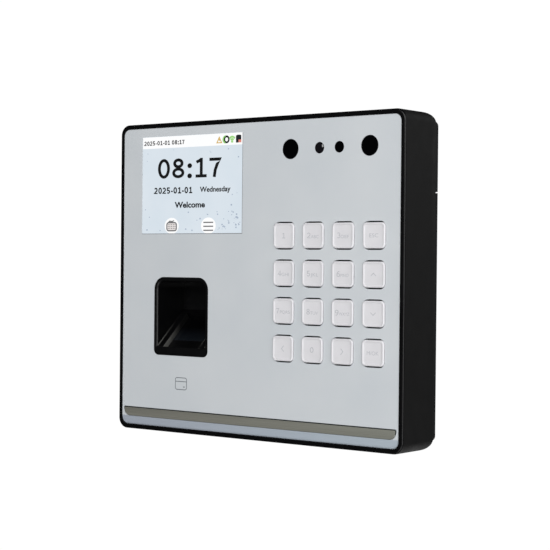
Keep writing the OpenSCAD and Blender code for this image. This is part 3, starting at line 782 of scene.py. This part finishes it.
# Places on the screen are in mm, right of and above its upper left corner
STRETCH = 1.18                          # the display shows its picture this much wider than it was drawn
BAR = 5.6                               # height of the status bar
BUTTONS = ((19.2, -43.2), (42.4, -43.25))
BUTTON_R = 3.85
ICONS = -2.95                           # level of the status icons' middles
SPECKS, CROWDED = 90, 40                # specks that are tried, and how many of them lie at the lower right
TEXT_ACROSS, TEXT_UP = (8, 56), (-36, -9)           # the area of the text, where no speck lies
BUTTON_CLEAR = 0.75                     # how far a speck keeps from a button
ON_GLASS, ON_BUTTON, ON_PICTURE = 0, 0.02, 0.035    # how far a drawing lies in front of the glass


def screen_corner(lift):
    """The screen's upper left corner on its face, so many millimetres in front of the glass."""
    low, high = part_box("screen_window")
    return Vector((low.x, low.y - lift * MM, high.z))


def screen_size():
    """Width and height of the screen in millimetres."""
    low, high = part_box("screen_window")
    return (high.x - low.x) / MM, (high.z - low.z) / MM


def show(drawing, name, lift, light, first, second):
    """Puts a drawing on the screen as a lit piece, whose light drifts between two tones."""
    drawing.piece(name, screen_corner(lift), "terminal", "screen_glass", lit(light, first, second))


def screen_light():
    """White status bar and the two round buttons."""
    wide, _ = screen_size()
    white = Drawing()
    white.area([(0, -BAR), (wide, -BAR), (wide, 0), (0, 0)])
    for x, z in BUTTONS:
        white.area(ellipse(x, z, BUTTON_R * STRETCH, BUTTON_R, 48))
    show(white, "screen_white", ON_GLASS, "lit_white", (252, 253, 254), (255, 255, 255))


def clear_of_picture(x, z):
    """Whether a speck there keeps off the edges, the status bar, the text and the round buttons."""
    in_text = TEXT_ACROSS[0] < x < TEXT_ACROSS[1] and TEXT_UP[0] < z < TEXT_UP[1]
    in_button = any(math.hypot((x - bx) / STRETCH, z - bz) < BUTTON_R + BUTTON_CLEAR for bx, bz in BUTTONS)
    return not in_text and not in_button and x > 0.6 and z < -BAR - 0.8


def screen_specks():
    """Sparse blue-grey specks of the background picture, most of them at the lower right."""
    wide, high = screen_size()
    chance = random.Random(11)
    specks = Drawing(0.01)
    for i in range(SPECKS):
        if i < CROWDED:
            x = wide - abs(chance.gauss(0, 9)) - 1
            z = -high + abs(chance.gauss(0, 8)) + 1
        else:
            x = chance.uniform(1, wide - 2)
            z = chance.uniform(-high + 1, -BAR - 1)
        r = chance.uniform(0.18, 0.44)
        if clear_of_picture(x, z):
            specks.area(ellipse(x, z, r * STRETCH, r, 10))
    show(specks, "screen_specks", ON_GLASS, "lit_speck", (158, 172, 190), (178, 190, 206))


def screen_text():
    """Clock, date, weekday, greeting and the status line."""
    ink = Drawing()
    ink.digits("08:17", left=10.05, base=-20.35, width=40.6, height=9.5, weight=0.155)
    ink.digits("2025-01-01", left=7.7, base=-27.7, width=24.6, height=3.1, weight=0.2)
    ink.digits("2025-01-01 08:17", left=0.9, base=-4.1, width=26.2, height=2.15, weight=0.19)
    ink.words("Wednesday", left=37, base=-27.2, width=18.9, height=2.45, thicker=0.024)
    ink.words("Welcome", left=21.1, base=-34.5, width=19.1, height=2.75, thicker=0.03)
    show(ink, "screen_text", ON_PICTURE, "lit_black", (0, 0, 2), (3, 4, 6))


def screen_button_marks():
    """The keypad and menu signs on the round buttons."""
    grey, pale = Drawing(), Drawing(0.02)
    (x, z), (mx, mz) = BUTTONS
    box = [(x + px * STRETCH, z - 0.4 + pz) for px, pz in rounded(5.3, 3.9, 1.1, steps=5)]
    pale.area(box)
    show(pale, "screen_button_fill", ON_BUTTON, "lit_pale", (226, 220, 218), (232, 227, 225))
    grey.stroke(box, 0.62, closed=True)
    grey.stroke([(x - 2, z + 1.7), (x - 1.2, z + 2.3), (x + 0.1, z + 2.05), (x + 1.5, z + 2.5)], 0.55)
    half, pitch = (0.28, 0.22), (1.1, 0.9)      # half the size of a key in the sign, and the keys' spacing
    for row in range(3):
        level = z + 0.55 - row * pitch[1]
        for column in range(-2, 3):
            left = x + column * pitch[0] - half[0]
            right = left + 2 * half[0]
            low, high = level - half[1], level + half[1]
            grey.area([(left, low), (right, low), (right, high), (left, high)])
    for bar_level in (1.55, -0.3, -2.2):
        grey.stroke([(mx - 3.05, mz + bar_level), (mx + 3.05, mz + bar_level)], 0.6)
    show(grey, "screen_button_marks", ON_PICTURE, "lit_grey", (104, 104, 106), (114, 114, 116))


def warning_icon():
    """Amber triangle with a stroke in it."""
    x = 48.75
    amber = Drawing()
    amber.stroke([(x - 1.45, ICONS - 1.4), (x + 1.45, ICONS - 1.4), (x, ICONS + 1.2)], 0.5, closed=True)
    amber.stroke([(x, ICONS + 0.4), (x, ICONS - 0.6)], 0.55)
    show(amber, "screen_icon_warning", ON_PICTURE, "lit_amber", (206, 168, 74), (214, 178, 92))


def wireless_icon():
    """Green fan of waves over a dot, and the green half round the ring."""
    x = 56.6
    green = Drawing()
    green.stroke(arc(52.9, ICONS, 1.75, 1.6, 100, 260, 12), 0.85)
    for reach in (0.95, 1.8):
        green.stroke(arc(x, ICONS - 1.2, reach * STRETCH, reach * 1.3, 40, 140, 10), 0.9)
    green.area(ellipse(x, ICONS - 1.1, 0.6 * STRETCH, 0.6, 14))
    show(green, "screen_icon_wireless", ON_PICTURE, "lit_green", (150, 212, 118), (162, 220, 134))


def ring_icon():
    """Dark ring, and the dark body of the plug beside it."""
    left, right, low, high = 58.9, 62.1, ICONS - 0.4, ICONS + 1.9
    dark = Drawing()
    dark.stroke(arc(53.25, ICONS, 1.35, 1.4, 0, 360, 24), 0.9, closed=True)
    shoulder = high - 0.4
    dark.area([(left, low), (right, low), (right, shoulder), (61.5, high), (59.6, high), (left, shoulder)])
    dark.stroke([(59.7, ICONS - 0.3), (59.7, ICONS - 1.75)], 1.5)
    show(dark, "screen_icon_ring", ON_PICTURE, "lit_dark", (20, 24, 28), (30, 34, 38))


def plug_icon():
    """Red parts of the plug."""
    red = Drawing()
    red.area(ellipse(61, ICONS + 0.55, 0.7 * STRETCH, 0.6, 18))
    red.stroke([(61.3, ICONS - 0.3), (61.3, ICONS - 1.7)], 1.7)
    show(red, "screen_icon_plug", ON_PICTURE, "lit_red", (216, 128, 112), (224, 140, 124))


def screen_seam_shadow():
    """Thin dark seam with painted shadow, drawn only beside the glass at the right and under it, where the
    shade falls.
    """
    wide, high = screen_size()
    right, foot = wide + 0.26, -high - 0.2
    seam = Drawing(0.01)
    # painted shadow: the dark line runs only along the right side and the foot of the glass
    seam.stroke([(right, 0), (right, foot), (0, foot)], 0.28)
    corner = screen_corner(ON_GLASS)
    corner.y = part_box("front_panel")[0].y
    ink = print_ink("seam_shadow_grey", srgb(140, 144, 148))
    seam.piece("screen_seam_shadow", corner, "terminal", "panel_white", ink)


def card_mark():
    """Printed outline of a card on the panel, under the finger well."""
    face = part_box("front_panel")[0].y
    left, right = (corner.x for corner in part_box("finger_shroud"))
    aside, level = 0.55, -50.87                 # from the well's middle, and in the row's frame
    mark = Drawing(0.01)
    mark.stroke(rounded(7.1, 5.65, 1, steps=5), 0.36, closed=True)
    mark.stroke([(-3.5, 1.05), (3.5, 1.05)], 0.34)
    mark.stroke([(1.3, -1.5), (2.5, -1.5)], 0.4)
    middle = Vector((0.5 * (left + right) + aside * MM, face, level * MM))
    mark.piece("card_mark", middle, "terminal", "panel_white", print_ink("card_ink", srgb(112, 117, 122)))


# ---------------------------------------------------------------- strip, lenses, sensor seal


def strip(made):
    """Metal strip with a bevelled edge; its bevel and sides above the middle height carry painted shade, dark
    along its top and upper ends.
    """
    low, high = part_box("decor_strip")
    w, h = (high.x - low.x) / MM, (high.z - low.z) / MM
    bevel, foot, fall = 0.36, 0.1, 0.2          # the bevel's width, its width at the foot, and its depth
    outer = rounded(w, h, 0.6, h - 0.8)
    flat = h - bevel - foot
    front = [(x, z + (foot - bevel) / 2) for x, z in rounded(w - 2 * bevel, flat, 0.4, flat - 0.5)]
    rings = [(outer, (high.y - low.y) / MM), (outer, fall), (front, 0)]
    mesh, bands = loft(rings, (low + high) / 2, low.y)
    middle = (low.z + high.z) / 2
    # painted shade: faces above the strip's middle height take the darker bevel colour
    for side in bands[0] + bands[1]:
        side.material_index = int(side.calc_center_median().z > middle)
    piece = add_piece("metal_strip", mesh, "terminal", "strip_metal", made["strip_metal"], strip_bevel_shade())
    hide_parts("decor_strip")


def bar(mesh, start, end, across, up):
    """Adds a straight bar from one point to another, its section given by two vectors."""
    ends = [
        [mesh.verts.new(at + a * across + b * up) for a, b in ((0, 0), (1, 0), (1, 1), (0, 1))]
        for at in (start, end)
    ]
    for i in range(4):
        mesh.faces.new((ends[0][i], ends[0][(i + 1) % 4], ends[1][(i + 1) % 4], ends[1][i]))
    mesh.faces.new(ends[0])
    mesh.faces.new(ends[1])


WELL_SLOPE = math.radians(42)           # the well's floor against the level
WELL_HALF = 15.1                        # half the width between the well's walls, in mm
GLASS_START = 7.3                       # from the slope's lower end to the glass, in mm
GLASS_DROP = 2.4                        # how far the glass lies under the slope, in mm
GLASS_THICK = 2
SEAL_WIDE, SEAL_LONG = 0.25, 23
BEAD_WIDE, BEAD_LONG = 0.34, 21


def well_trim():
    """Grey seals beside the sensing glass, and grey beads where the sloping floor meets the well's walls,
    which paint a highlight line on the black shroud.
    """
    low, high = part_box("finger_glass")
    uphill = Vector((0, math.cos(WELL_SLOPE), math.sin(WELL_SLOPE))) * MM
    outward = Vector((0, -math.sin(WELL_SLOPE), math.cos(WELL_SLOPE))) * MM
    corner = Vector(((low.x + high.x) / 2, low.y, low.z)) + Vector((0, 0, GLASS_THICK * outward.z))
    foot = corner - GLASS_START * uphill
    half = (high.x - low.x) / 2 / MM
    seals, beads = bmesh.new(), bmesh.new()
    for side in (-1, 1):
        sideways = Vector((side * MM, 0, 0))
        start = foot + sideways * (half + 0.1) + uphill * 0.3
        bar(seals, start, start + uphill * SEAL_LONG, -SEAL_WIDE * sideways, outward * (GLASS_DROP - 0.05))
        start = foot + sideways * WELL_HALF + uphill * 0.8 + outward * (GLASS_DROP - 0.1)
        bar(beads, start, start + uphill * BEAD_LONG, -BEAD_WIDE * sideways, outward * BEAD_WIDE)
    grey = seal_and_highlight_grey()
    add_piece("glass_seals", seals, "terminal", "seal_silicone", grey)
    # painted highlight: grey beads on the black well walls stand in for the light on the fillet there
    add_piece("well_bead_highlights", beads, "terminal", "shroud_black", grey)


def lens_dome():
    """Domed glass over the colour camera, which catches the light at one side."""
    low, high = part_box("camera_windows")
    middle = (high.z - low.z) / 2
    rim, sunk, rise = 0.25, 0.02, 0.4           # the window's bare rim, the dome's edge behind it, its rise
    radius = middle / MM - rim
    rings = [
        ([(radius * t * c, radius * t * s) for c, s in circle(36)], sunk - rise * (1 - t * t))
        for t in (1, 0.9, 0.78, 0.64, 0.48, 0.3, 0.12)
    ]
    mesh, _ = loft(rings, Vector((low.x + middle, 0, low.z + middle)), low.y)
    add_piece("lens_dome", mesh, "terminal", "window_black", lens_glass())


# ---------------------------------------------------------------- stage, light and camera


FLOOR_LEVEL, FLOOR_R, BACKDROP_R = -0.75, 6, 8      # in metres


def stage():
    """White floor and backdrop, seen by the camera only, so that the light on the object stays soft."""
    white = bpy.data.materials.new("stage_white")
    white.use_nodes = True
    shader = white.node_tree.nodes["Principled BSDF"]
    shader.inputs["Base Color"].default_value = (0, 0, 0, 1)
    shader.inputs["Specular IOR Level"].default_value = 0
    shader.inputs["Emission Color"].default_value = (1, 1, 1, 1)
    shader.inputs["Emission Strength"].default_value = 1.02
    floor = bmesh.new()
    level = Matrix.Translation((0, 0, FLOOR_LEVEL))
    bmesh.ops.create_circle(floor, cap_ends=True, segments=64, radius=FLOOR_R, matrix=level)
    backdrop = bmesh.new()
    bmesh.ops.create_icosphere(backdrop, subdivisions=4, radius=BACKDROP_R)
    for name, mesh in (("floor", floor), ("backdrop", backdrop)):
        data = bpy.data.meshes.new(name)
        mesh.to_mesh(data)
        mesh.free()
        data.materials.append(white)
        piece = bpy.data.objects.new(name, data)
        bpy.context.scene.collection.objects.link(piece)
        for ray in ("diffuse", "glossy", "transmission", "volume_scatter", "shadow"):
            setattr(piece, f"visible_{ray}", False)


def softbox(name, place, width, height, power):
    """Square lamp that faces the object and isn't seen itself."""
    light = bpy.data.lights.new(name, "AREA")
    light.shape = "RECTANGLE"
    light.size = width
    light.size_y = height
    light.energy = power
    lamp = bpy.data.objects.new(name, light)
    lamp.location = place
    lamp.rotation_euler = (-Vector(place)).to_track_quat("-Z", "Y").to_euler()
    lamp.visible_camera = False
    bpy.context.scene.collection.objects.link(lamp)


def lights():
    """Big soft lamps above the front and at the right, weak ones below and behind, and a dim room."""
    softbox("lamp_above", (0.35, -1.2, 0.62), 1.3, 0.8, 13)
    softbox("lamp_right", (1.15, -0.45, 0.15), 1.0, 1.2, 9)
    softbox("lamp_below", (0.35, -0.9, -0.75), 1.4, 0.7, 5)
    softbox("lamp_behind", (0.6, 1.15, 0.45), 1.2, 0.8, 0.9)
    softbox("lamp_floor", (0.05, 0.75, -0.8), 1.4, 0.9, 2)
    room = bpy.data.worlds.new("room")
    room.use_nodes = True
    room.node_tree.nodes["Background"].inputs["Color"].default_value = (0.93, 0.96, 1, 1)
    room.node_tree.nodes["Background"].inputs["Strength"].default_value = 0.04
    bpy.context.scene.world = room
    bpy.context.scene.view_settings.view_transform = "Standard"


def camera():
    """Long lens at about the height of the middle, well round to the right, with a slight roll."""
    azimuth, pitch, roll = 38.04, -0.487, 0.545
    right, ahead, above = 0.4484, 0.5557, 0.00798       # in metres, ahead of the frame's front edge
    data = bpy.data.cameras.new("camera")
    data.lens = 101.2
    data.sensor_width = 36
    data.clip_start = 0.01
    seen = bpy.data.objects.new("camera", data)
    seen.matrix_world = (
        Matrix.Translation((right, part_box("front_frame")[0].y - ahead, above))
        @ Matrix.Rotation(math.radians(azimuth), 4, "Z")
        @ Matrix.Rotation(math.radians(90 + pitch), 4, "X")
        @ Matrix.Rotation(math.radians(roll), 4, "Z")
    )
    bpy.context.scene.collection.objects.link(seen)
    bpy.context.scene.camera = seen


made = dress_nodes()
keypad(made)
screen_light()
screen_specks()
screen_text()
screen_button_marks()
warning_icon()
wireless_icon()
ring_icon()
plug_icon()
screen_seam_shadow()
card_mark()
strip(made)
well_trim()
lens_dome()
stage()
lights()
camera()
